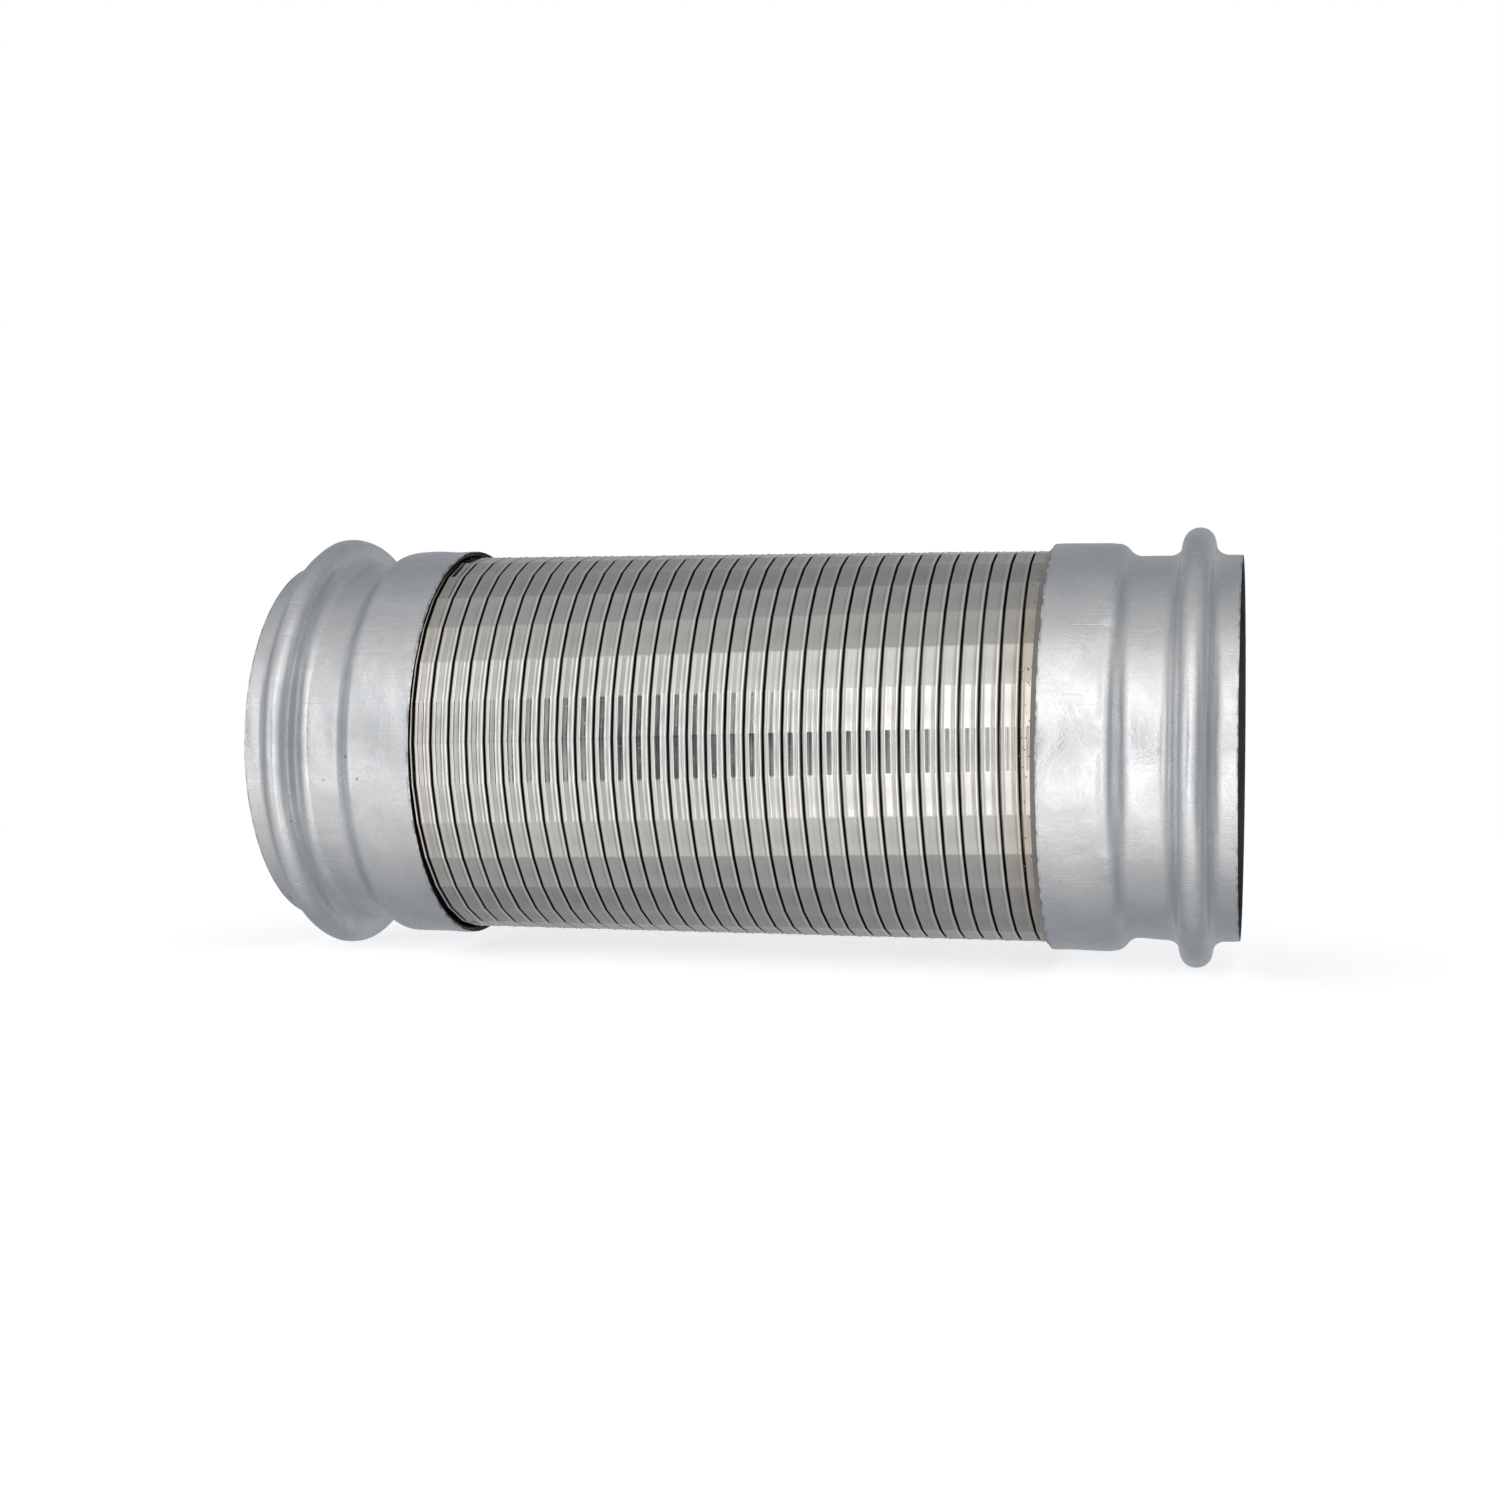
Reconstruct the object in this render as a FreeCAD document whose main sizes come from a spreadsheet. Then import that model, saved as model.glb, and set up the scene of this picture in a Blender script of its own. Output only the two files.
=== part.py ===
import FreeCAD, Part
import math
import os
import Sketcher

# A flexible exhaust joint: a strip-wound, interlocked steel hose with an identical pressed tube
# on each end.  The origin is the middle of the hose on its axis, +X runs along the hose to the
# right-hand end, +Z is up.  Angles round the hose start at its front (-Y) and rise towards +Z.

SIZES = [
    ("hose_radius", 66.0, "hose, outside radius over the corners of its flats"),
    ("pitch", 6.24, "advance of the strip in one turn"),
    ("strip_thickness", 0.5, "sheet that the strip is rolled from"),
    ("hose_wall", 3.5, "hose, from its outside to its bore"),
    ("seam_gap", 0.9, "axial room between two turns at rest"),
    ("hook_clearance", 0.5, "radial room between a hook and the band it slides over"),
    ("crest_height", 0.3, "rise of the rounded crest above the band beside it"),
    ("crest_width", 0.6, "flat top of the crest"),
    ("crest_fall", 0.5, "slope from the crest to the band"),
    ("edge_round", 0.35, "break of the band's two outer edges"),
    ("flats_per_turn", 30, "flats that the hose has in one turn"),
    ("flat_drift", 0.185, "degrees that the flats creep round in one turn"),
    ("flat_phase", 1.5, "angle of a corner in the turn beside the first moving seam"),
    ("cut_angle", -175.0, "roughly where one turn is parted from the next, at the back"),
    ("turn_parting", 0.4, "room between the end of one turn and the start of the next"),
    ("moving_turns", 32, "turns that move between the two sleeves"),
    ("left_lead", 0.7, "first moving seam from the left sleeve's mouth, at the front"),
    ("right_lead", 4.83, "last moving seam from the right sleeve's mouth, at the front"),
    ("sleeve_clearance", 0.4, "radial room between the hose and a sleeve"),
    ("tube_wall", 1.5, "wall of the end tubes"),
    ("pipe_radius", 63.5, "outside radius of the neck and lip, for a 127 mm pipe"),
    ("sleeve_length", 20.4, "straight sleeve over the hose"),
    ("taper_length", 8.0, "step from the sleeve down to the neck"),
    ("neck_length", 9.1, "straight neck between the step and the bead"),
    ("bead_width", 18.8, "rolled bead, foot to foot"),
    ("bead_height", 9.2, "rise of the bead above the neck"),
    ("bead_crest_round", 5.1, "outside radius of the bead's crest"),
    ("lip_length", 4.6, "straight lip outside the bead"),
    ("hose_end_room", 0.5, "room between the hose's cut end and the step"),
    ("weld_leg", 1.6, "run of the right weld bead over the hose"),
    ("weld_drop", 0.4, "weld bead's top below the sleeve's outside"),
    ("weld_crown", 0.75, "weld bead's height half way along its run, as a share of the whole"),
    ("weld_depth", 2.0, "how far the weld metal runs into the sleeve's gap"),
    ("left_weld_setback", 6.0, "left weld ring from the sleeve's mouth, inside the gap"),
]

FULL_TURN = 360.0
TRIM_REACH = 200.0


class Length:
    """A length that knows its value and the spreadsheet expression that drives it."""

    def __init__(self, value, text):
        self.value = value
        self.text = text

    def join(self, other, sign, value):
        text = other.text if isinstance(other, Length) else repr(other)
        return Length(value, f"({self.text} {sign} {text})")

    def __add__(self, other):
        return self.join(other, "+", self.value + number(other))

    def __sub__(self, other):
        return self.join(other, "-", self.value - number(other))

    def __mul__(self, other):
        return self.join(other, "*", self.value * number(other))

    def __truediv__(self, other):
        return self.join(other, "/", self.value / number(other))


def number(item):
    return item.value if isinstance(item, Length) else float(item)


def make_sheet(doc):
    """The driving dimensions: a name, a plain number and a note on each row."""
    sheet = doc.addObject("Spreadsheet::Sheet", "Sizes")
    for row, (name, value, note) in enumerate(SIZES, start=1):
        sheet.set(f"A{row}", name)
        sheet.set(f"B{row}", str(value))
        sheet.set(f"C{row}", note)
        sheet.setAlias(f"B{row}", name)
    doc.recompute()
    return sheet


def read_lengths(sheet):
    return {name: Length(float(sheet.get(name)), f"Sizes.{name}") for name, _, _ in SIZES}


# ---- places along the axis and radii that several pieces share --------------------------------

def exposed_half(size):
    """Half the distance between the two sleeve mouths."""
    return (size["moving_turns"] * size["pitch"] + size["left_lead"] + size["right_lead"]) / 2


def sleeve_inner_radius(size):
    return size["hose_radius"] + size["sleeve_clearance"]


def first_seam_x(size):
    """The first moving seam at the front of the hose."""
    return size["left_lead"].value - exposed_half(size).value


# ---- pieces turned about the hose's axis ------------------------------------------------------

def origin_plane(body, role):
    for feature in body.Origin.OriginFeatures:
        if feature.Role == role:
            return feature
    raise RuntimeError(f"{body.Name} has no {role}")


def arc_between(first, last, radius, centre_is_left):
    """The short arc from first to last; also whether it runs anticlockwise."""
    chord = last - first
    half = chord.Length / 2
    normal = FreeCAD.Vector(-chord.y, chord.x, 0) / chord.Length
    rise = math.sqrt(max(radius * radius - half * half, 0.0))
    centre = (first + last) / 2 + normal * (rise if centre_is_left else -rise)
    start, end = (first, last) if centre_is_left else (last, first)
    start_angle = math.atan2(start.y - centre.y, start.x - centre.x)
    end_angle = math.atan2(end.y - centre.y, end.x - centre.x)
    circle = Part.Circle(centre, FreeCAD.Vector(0, 0, 1), radius)
    return Part.ArcOfCircle(circle, start_angle, end_angle)


def draw_outline(sketch, corners):
    """Close the corners with lines and arcs, each corner and radius bound to the sheet.

    A corner is (x, r, bow): bow is None for a line to the next corner, or (radius, left) for an
    arc whose centre is left or right of the way there.
    """
    count = len(corners)
    points = [FreeCAD.Vector(x.value, r.value, 0) for x, r, bow in corners]
    ends = []
    for index, (x, r, bow) in enumerate(corners):
        first = points[index]
        last = points[(index + 1) % count]
        if bow is None:
            sketch.addGeometry(Part.LineSegment(first, last), False)
            ends.append((1, 2))
        else:
            radius, centre_is_left = bow
            sketch.addGeometry(arc_between(first, last, radius.value, centre_is_left), False)
            ends.append((1, 2) if centre_is_left else (2, 1))
    for index in range(count):
        following = (index + 1) % count
        sketch.addConstraint(
            Sketcher.Constraint("Coincident", index, ends[index][1], following, ends[following][0]))
    for index, (x, r, bow) in enumerate(corners):
        start = ends[index][0]
        bind(sketch, Sketcher.Constraint("DistanceX", -1, 1, index, start, x.value), x)
        bind(sketch, Sketcher.Constraint("DistanceY", -1, 1, index, start, r.value), r)
        if bow is not None:
            bind(sketch, Sketcher.Constraint("Radius", index, bow[0].value), bow[0])


def bind(sketch, constraint, length):
    index = sketch.addConstraint(constraint)
    sketch.setExpression(f"Constraints[{index}]", length.text)


def turn_about_axis(doc, name, corners, on_left):
    """A body made by turning an outline once about X; the left-hand one is swung half round."""
    body = doc.addObject("PartDesign::Body", name)
    body.Label = name
    sketch = body.newObject("Sketcher::SketchObject", name + "_outline")
    sketch.AttachmentSupport = [(origin_plane(body, "XY_Plane"), "")]
    sketch.MapMode = "FlatFace"
    draw_outline(sketch, corners)
    turned = body.newObject("PartDesign::Revolution", name + "_turned")
    turned.Profile = sketch
    turned.ReferenceAxis = (sketch, ["H_Axis"])
    turned.Angle = FULL_TURN
    sketch.Visibility = False
    if on_left:
        half_turn = FreeCAD.Rotation(FreeCAD.Vector(0, 0, 1), 180)
        body.Placement = FreeCAD.Placement(FreeCAD.Vector(0, 0, 0), half_turn)
    return body


def sum_of_radii(width, rise):
    """What the radii of two tangent arcs add up to, when they climb or fall rise over width."""
    total = (width * width + rise * rise) / (rise * 2)
    return total if total.value > 0 else total * -1


def swept_step(start, finish, start_radius, convex_first):
    """Two tangent arcs from start to finish, level at both ends, as outline corners.

    The last point is left for the caller.  The second arc's radius follows from the first's.
    """
    width = finish[0] - start[0]
    rise = finish[1] - start[1]
    both_radii = sum_of_radii(width, rise)
    share = start_radius / both_radii
    middle = (start[0] + width * share, start[1] + rise * share)
    forward = width.value > 0
    first_left = forward != convex_first
    return [
        (start[0], start[1], (start_radius, first_left)),
        (middle[0], middle[1], (both_radii - start_radius, not first_left)),
    ]


def end_tube_outline(size):
    """Sleeve, step, neck, rolled bead and lip of the right-hand tube, outside then inside."""
    wall = size["tube_wall"]
    mouth = exposed_half(size)
    step_start = mouth + size["sleeve_length"]
    step_end = step_start + size["taper_length"]
    bead_start = step_end + size["neck_length"]
    bead_middle = bead_start + size["bead_width"] / 2
    bead_end = bead_start + size["bead_width"]
    rim = bead_end + size["lip_length"]
    sleeve = sleeve_inner_radius(size) + wall
    neck = size["pipe_radius"]
    crest = neck + size["bead_height"]
    crest_round = size["bead_crest_round"]
    foot_round = sum_of_radii(size["bead_width"] / 2, size["bead_height"]) - crest_round
    drop = sleeve - neck
    narrows = drop.value > 0
    step_radii = sum_of_radii(size["taper_length"], drop)
    step_round = step_radii / 2
    inner_step_round = step_round - wall if narrows else step_round + wall

    outside = [(mouth, sleeve, None)]
    outside += swept_step((step_start, sleeve), (step_end, neck), step_round, narrows)
    outside += [(step_end, neck, None)]
    outside += swept_step((bead_start, neck), (bead_middle, crest), foot_round, False)
    outside += swept_step((bead_middle, crest), (bead_end, neck), crest_round, True)
    outside += [(bead_end, neck, None), (rim, neck, None)]

    bore = neck - wall
    inner_crest = crest - wall
    inside = [(rim, bore, None)]
    inside += swept_step((bead_end, bore), (bead_middle, inner_crest), foot_round + wall, False)
    inside += swept_step((bead_middle, inner_crest), (bead_start, bore), crest_round - wall, True)
    inside += [(bead_start, bore, None)]
    inner_neck_round = step_radii - inner_step_round
    inside += swept_step((step_end, bore), (step_start, sleeve - wall), inner_neck_round, not narrows)
    inside += [(step_start, sleeve - wall, None), (mouth, sleeve - wall, None)]
    return outside + inside


def right_weld_outline(size):
    """Fillet of weld metal against the sleeve's cut edge, with a root in the gap."""
    mouth = exposed_half(size)
    hose = size["hose_radius"]
    sleeve_bore = sleeve_inner_radius(size)
    top = sleeve_bore + size["tube_wall"] - size["weld_drop"]
    root = mouth + size["weld_depth"]
    return [
        (mouth - size["weld_leg"], hose, None),
        (mouth - size["weld_leg"] / 2, hose + (top - hose) * size["weld_crown"], None),
        (mouth, top, None),
        (mouth, sleeve_bore, None),
        (root, sleeve_bore, None),
        (root, hose, None),
    ]


def left_weld_outline(size):
    """Ring of weld metal that fills the gap between sleeve and hose, behind the open mouth."""
    near = exposed_half(size) + size["left_weld_setback"]
    far = near + size["weld_depth"]
    hose = size["hose_radius"]
    sleeve_bore = sleeve_inner_radius(size)
    return [(near, hose, None), (near, sleeve_bore, None), (far, sleeve_bore, None), (far, hose, None)]


# ---- the strip --------------------------------------------------------------------------------

def strip_profile(size):
    """Section of the strip as (x, r), with x from the seam on the strip's left.

    A hooked outer band, a web, and an inner band whose lip turns outwards inside the next turn.
    """
    v = {name: length.value for name, length in size.items()}
    thickness = v["strip_thickness"]
    left = v["seam_gap"] / 2
    right = v["pitch"] - v["seam_gap"] / 2
    outer = v["hose_radius"]
    inner = outer - v["hose_wall"]
    band = outer - v["crest_height"]
    crest_start = left + v["edge_round"]
    crest_end = crest_start + v["crest_width"]
    inner_band_top = inner + thickness
    band_underside = band - thickness
    lip_right = v["pitch"] + right - thickness - v["seam_gap"]
    lip_left = lip_right - thickness
    lip_top = band_underside - v["hook_clearance"]
    hook_bottom = inner_band_top + v["hook_clearance"]
    return [
        (left, outer - v["edge_round"]),
        (crest_start, outer),
        (crest_end, outer),
        (crest_end + v["crest_fall"], band),
        (right - v["edge_round"], band),
        (right, band - v["edge_round"]),
        (right, inner_band_top),
        (lip_left, inner_band_top),
        (lip_left, lip_top),
        (lip_right, lip_top),
        (lip_right, inner),
        (right - thickness, inner),
        (right - thickness, band_underside),
        (left + thickness, band_underside),
        (left + thickness, hook_bottom),
        (left, hook_bottom),
    ]


def strip_solid(size, first_flat, last_flat):
    """The strip over a run of flats, counted from the start of the first moving turn.

    Counting up goes round the hose from the front upwards, and to the left along it.  The last
    flat stops short by turn_parting.
    """
    flats = int(size["flats_per_turn"].value)
    per_flat = (FULL_TURN - size["flat_drift"].value) / flats
    whole_flats = round((size["cut_angle"].value - size["flat_phase"].value) / (FULL_TURN / flats))
    start_angle = size["flat_phase"].value + whole_flats * FULL_TURN / flats
    profile = strip_profile(size)
    seam = first_seam_x(size)

    def station(flat):
        angle = start_angle + flat * per_flat
        back = size["pitch"].value * angle / FULL_TURN
        turn = math.radians(angle)
        return [FreeCAD.Vector(seam - back + x, -r * math.cos(turn), r * math.sin(turn))
                for x, r in profile]

    stations = [station(flat) for flat in range(first_flat, last_flat + 1)]
    flat_length = 2 * size["hose_radius"].value * math.sin(math.radians(per_flat / 2))
    keep = 1 - size["turn_parting"].value / flat_length
    stations[-1] = [a + (b - a) * keep for a, b in zip(stations[-2], stations[-1])]
    wires = [Part.makePolygon(points + points[:1]) for points in stations]
    solid = Part.makeLoft(wires, True, True)
    if solid.Volume < 0:
        solid.reverse()
    return solid


def turn_step(size):
    """How one turn becomes the next one to the right: a slide along X and a small creep round."""
    drift = size["flat_drift"].value
    slide = size["pitch"].value * (1 - drift / FULL_TURN)
    return slide, drift


def make_windings(doc, size):
    """One solid per moving turn, all alike, each a step further along."""
    flats = int(size["flats_per_turn"].value)
    one_turn = strip_solid(size, 0, flats)
    slide, drift = turn_step(size)
    windings = []
    for turn in range(int(size["moving_turns"].value)):
        winding = doc.addObject("Part::Feature", f"winding_{turn + 1:02d}")
        winding.Label = winding.Name
        winding.Shape = one_turn.copy()
        creep = FreeCAD.Rotation(FreeCAD.Vector(-1, 0, 0), drift * turn)
        winding.Placement = FreeCAD.Placement(FreeCAD.Vector(slide * turn, 0, 0), creep)
        winding.setExpression(
            "Placement.Base.x", f"{turn} * Sizes.pitch * (1 - Sizes.flat_drift / {FULL_TURN})")
        windings.append(winding)
    return windings


def make_anchored_turns(doc, name, size, on_left):
    """The turns that lie fixed in a sleeve, sawn off square just short of the step."""
    flats = int(size["flats_per_turn"].value)
    hidden = size["sleeve_length"].value + size["right_lead"].value
    turns = math.ceil(hidden / size["pitch"].value) + 1
    moving = int(size["moving_turns"].value)
    saw_cut = exposed_half(size).value + size["sleeve_length"].value - size["hose_end_room"].value
    if on_left:
        solid = strip_solid(size, flats, flats * (1 + turns))
        saw_cut_start = -saw_cut
    else:
        solid = strip_solid(size, -flats * (moving + turns - 1), -flats * (moving - 1))
        saw_cut_start = saw_cut - TRIM_REACH
    corner = FreeCAD.Vector(saw_cut_start, -TRIM_REACH / 2, -TRIM_REACH / 2)
    kept_side = Part.makeBox(TRIM_REACH, TRIM_REACH, TRIM_REACH, corner)
    anchored = doc.addObject("Part::Feature", name)
    anchored.Label = name
    anchored.Shape = solid.common(kept_side)
    return anchored


# ---- the whole joint --------------------------------------------------------------------------

def check_sound(doc, pieces):
    for item in doc.Objects:
        if "Invalid" in item.State or "Error" in item.State:
            raise RuntimeError(f"{item.Name} did not recompute: {item.State}")
    for piece in pieces:
        shape = piece.Shape
        if shape.isNull() or not shape.isValid() or not shape.Solids:
            raise RuntimeError(f"{piece.Label} is not a sound solid")


def main():
    doc = FreeCAD.newDocument("flexible_exhaust_joint")
    size = read_lengths(make_sheet(doc))
    pieces = [
        turn_about_axis(doc, "left_end_tube", end_tube_outline(size), True),
        turn_about_axis(doc, "left_weld_ring", left_weld_outline(size), True),
        make_anchored_turns(doc, "left_anchored_turns", size, True),
    ]
    pieces += make_windings(doc, size)
    pieces += [
        make_anchored_turns(doc, "right_anchored_turns", size, False),
        turn_about_axis(doc, "right_weld_ring", right_weld_outline(size), False),
        turn_about_axis(doc, "right_end_tube", end_tube_outline(size), False),
    ]
    doc.recompute()
    check_sound(doc, pieces)
    os.makedirs("parts", exist_ok=True)
    for piece in pieces:
        piece.Shape.exportStep(f"parts/{piece.Label}.step")
        box = piece.Shape.BoundBox
        print(f"{piece.Label}: {len(piece.Shape.Solids)} solid, {piece.Shape.Volume:.0f} mm3, "
              f"x {box.XMin:.2f} to {box.XMax:.2f}")


main()
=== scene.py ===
"""Strip-wound flexible exhaust connector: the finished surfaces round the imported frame.

Thirty-two interlocked turns of polished stainless strip run between two rolled, aluminised end
tubes.  Everything is in metres, in the frame's own axes: X runs along the hose, -Y is the front.
Angles round the hose are counted from the front upwards, as the strip is wound.
"""

import math
import random

import bpy
import numpy as np
from bpy.props import FloatProperty, FloatVectorProperty, IntProperty, PointerProperty
from mathutils import Matrix, Vector


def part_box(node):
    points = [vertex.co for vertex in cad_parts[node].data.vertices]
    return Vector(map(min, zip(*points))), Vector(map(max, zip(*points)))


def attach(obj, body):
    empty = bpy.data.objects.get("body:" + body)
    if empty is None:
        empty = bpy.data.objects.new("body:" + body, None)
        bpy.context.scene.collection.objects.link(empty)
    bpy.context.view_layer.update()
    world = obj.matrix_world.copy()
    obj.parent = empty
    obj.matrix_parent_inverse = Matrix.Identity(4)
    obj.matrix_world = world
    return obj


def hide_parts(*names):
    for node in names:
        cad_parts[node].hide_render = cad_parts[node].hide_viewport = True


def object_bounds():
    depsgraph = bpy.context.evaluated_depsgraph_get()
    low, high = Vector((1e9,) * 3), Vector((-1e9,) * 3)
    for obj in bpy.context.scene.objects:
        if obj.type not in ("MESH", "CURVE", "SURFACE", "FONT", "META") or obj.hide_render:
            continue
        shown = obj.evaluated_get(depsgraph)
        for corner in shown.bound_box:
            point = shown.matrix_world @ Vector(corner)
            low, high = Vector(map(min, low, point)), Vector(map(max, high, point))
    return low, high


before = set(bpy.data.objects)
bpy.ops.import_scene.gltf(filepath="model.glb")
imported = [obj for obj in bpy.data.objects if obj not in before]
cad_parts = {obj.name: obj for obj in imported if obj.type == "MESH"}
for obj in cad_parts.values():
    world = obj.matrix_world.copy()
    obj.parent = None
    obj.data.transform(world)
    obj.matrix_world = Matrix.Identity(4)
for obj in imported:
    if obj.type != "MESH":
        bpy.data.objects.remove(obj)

bl_info = {
    "name": "Strip-wound exhaust connector",
    "version": (1, 0, 0),
    "blender": (4, 5, 0),
    "location": "3D View > Sidebar > Exhaust connector",
    "description": "Models the wound strip, end tubes and welds of a flexible exhaust connector",
    "category": "Add Mesh",
}

CAD_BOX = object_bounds()
MM = 0.001
FULL_TURN = 360.0
TURN_NAMES = sorted(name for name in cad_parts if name.startswith("winding_"))
TUBE_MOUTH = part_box("right_end_tube")[0].x
TUBE_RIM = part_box("right_end_tube")[1].x
BEAD_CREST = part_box("right_end_tube")[1].z
HOSE_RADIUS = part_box("winding_16")[1].y
SAW_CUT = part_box("right_anchored_turns")[1].x
TUBE_SEGMENTS = 288
RIGHT_WELD_SEGMENTS, LEFT_WELD_SEGMENTS = 420, 300
STRIP_EDGE, TUBE_EDGE, WELD_EDGE = 38, 50, 60   # sharper corners than this stay crisp, degrees
JAWS = 10                     # of the expander that opened the sleeve
JAW_DEPTH = 0.22 * MM
JAW_TURN = math.radians(-31)
RAGGED = 0.16 * MM            # how far the tubes' cut edges stray
DROPS = 46                    # of weld spatter
FLOOR_RADIUS = 6
LIGHT_WATTS, LIGHT_SIZE = 0.45, (1.30, 0.80)
LENS, SENSOR = 52.44, 36
CAMERA_PLACE = (0.1771, -0.7376, 0.0264)
CAMERA_DIP, CAMERA_SWING = 2.15, 13.76   # degrees


# ---- sizes and colours a user would change ----------------------------------------------------

class StripSizes(bpy.types.PropertyGroup):
    """How the strip is rolled and wound."""

    thickness: FloatProperty(
        name="Thickness", description="Thickness of the stainless strip",
        default=0.5 * MM, unit="LENGTH", precision=5)
    pitch: FloatProperty(
        name="Pitch", description="Distance along the hose from one seam to the next",
        default=6.24 * MM, unit="LENGTH", precision=5)
    gap: FloatProperty(
        name="Seam gap", description="Open width of the seam between two turns",
        default=0.72 * MM, unit="LENGTH", precision=5)
    wall: FloatProperty(
        name="Hose wall", description="Depth from the outer band to the inner band",
        default=3.5 * MM, unit="LENGTH", precision=5)
    lead: FloatProperty(
        name="Left lead",
        description="Distance from the left sleeve to the first seam, at the front",
        default=0.7 * MM, unit="LENGTH", precision=5)
    flats: IntProperty(
        name="Flats", description="Flat sides in one turn", default=30, min=12)
    drift: FloatProperty(
        name="Drift", description="How far the flats creep round from one turn to the next",
        default=math.radians(0.185), subtype="ANGLE")
    start: FloatProperty(
        name="Start", description="Angle at which the first turn is cut, from the front upwards",
        default=math.radians(-178.5), subtype="ANGLE")
    parting: FloatProperty(
        name="Parting", description="Slit between the ends of two turns, at the back",
        default=0.4 * MM, unit="LENGTH", precision=5)
    corner: FloatProperty(
        name="Corner", description="Half width of the rounded corner between two flats",
        default=0.42 * MM, unit="LENGTH", precision=5)
    bow: FloatProperty(
        name="Bow", description="How far the middle of a flat stands out",
        default=0.035 * MM, unit="LENGTH", precision=6)
    unevenness: FloatProperty(
        name="Unevenness", description="Largest stray of a corner from its true radius",
        default=0.05 * MM, unit="LENGTH", precision=6)


class TubeSizes(bpy.types.PropertyGroup):
    """The rolled end tubes, outside measures."""

    wall: FloatProperty(
        name="Wall", description="Wall of the tube", default=1.5 * MM, unit="LENGTH", precision=5)
    sleeve_radius: FloatProperty(
        name="Sleeve radius", description="Outer radius where the tube takes the hose",
        default=67.9 * MM, unit="LENGTH", precision=5)
    neck_radius: FloatProperty(
        name="Neck radius", description="Outer radius of the neck and the lip",
        default=63.5 * MM, unit="LENGTH", precision=5)
    sleeve_length: FloatProperty(
        name="Sleeve length", description="Straight part over the hose",
        default=20.4 * MM, unit="LENGTH", precision=5)
    taper_length: FloatProperty(
        name="Step length", description="Length of the step down to the neck",
        default=8.0 * MM, unit="LENGTH", precision=5)
    neck_length: FloatProperty(
        name="Neck length", description="Straight part before the bead",
        default=9.1 * MM, unit="LENGTH", precision=5)
    bead_width: FloatProperty(
        name="Bead width", description="Length of the rolled bead",
        default=18.8 * MM, unit="LENGTH", precision=5)
    crest_round: FloatProperty(
        name="Bead crest radius", description="Radius over the top of the bead",
        default=5.1 * MM, unit="LENGTH", precision=5)
    dent: FloatProperty(
        name="Hand-rolled dents", description="Largest stray of the rolled surface from true round",
        default=0.28 * MM, unit="LENGTH", precision=6)


class Finishes(bpy.types.PropertyGroup):
    """Base colours of the metals."""

    strip: FloatVectorProperty(
        name="Stainless strip", description="Polished stainless steel", subtype="COLOR",
        size=3, min=0, max=1, default=(0.70, 0.685, 0.665))
    tint: FloatVectorProperty(
        name="Heat tint", description="Straw colour where the strip was welded", subtype="COLOR",
        size=3, min=0, max=1, default=(0.56, 0.47, 0.36))
    tube: FloatVectorProperty(
        name="Aluminised tube", description="Dull aluminised steel", subtype="COLOR",
        size=3, min=0, max=1, default=(0.86, 0.88, 0.91))
    # painted shade: the near-black colour laid on the tubes' inward faces
    bore_shade: FloatVectorProperty(
        name="Inside of the tube", description="Dark scale inside the tubes", subtype="COLOR",
        size=3, min=0, max=1, default=(0.05, 0.05, 0.052))
    weld: FloatVectorProperty(
        name="Weld", description="Weld metal and cut edge", subtype="COLOR",
        size=3, min=0, max=1, default=(0.50, 0.47, 0.42))


# ---- node trees -------------------------------------------------------------------------------

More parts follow.
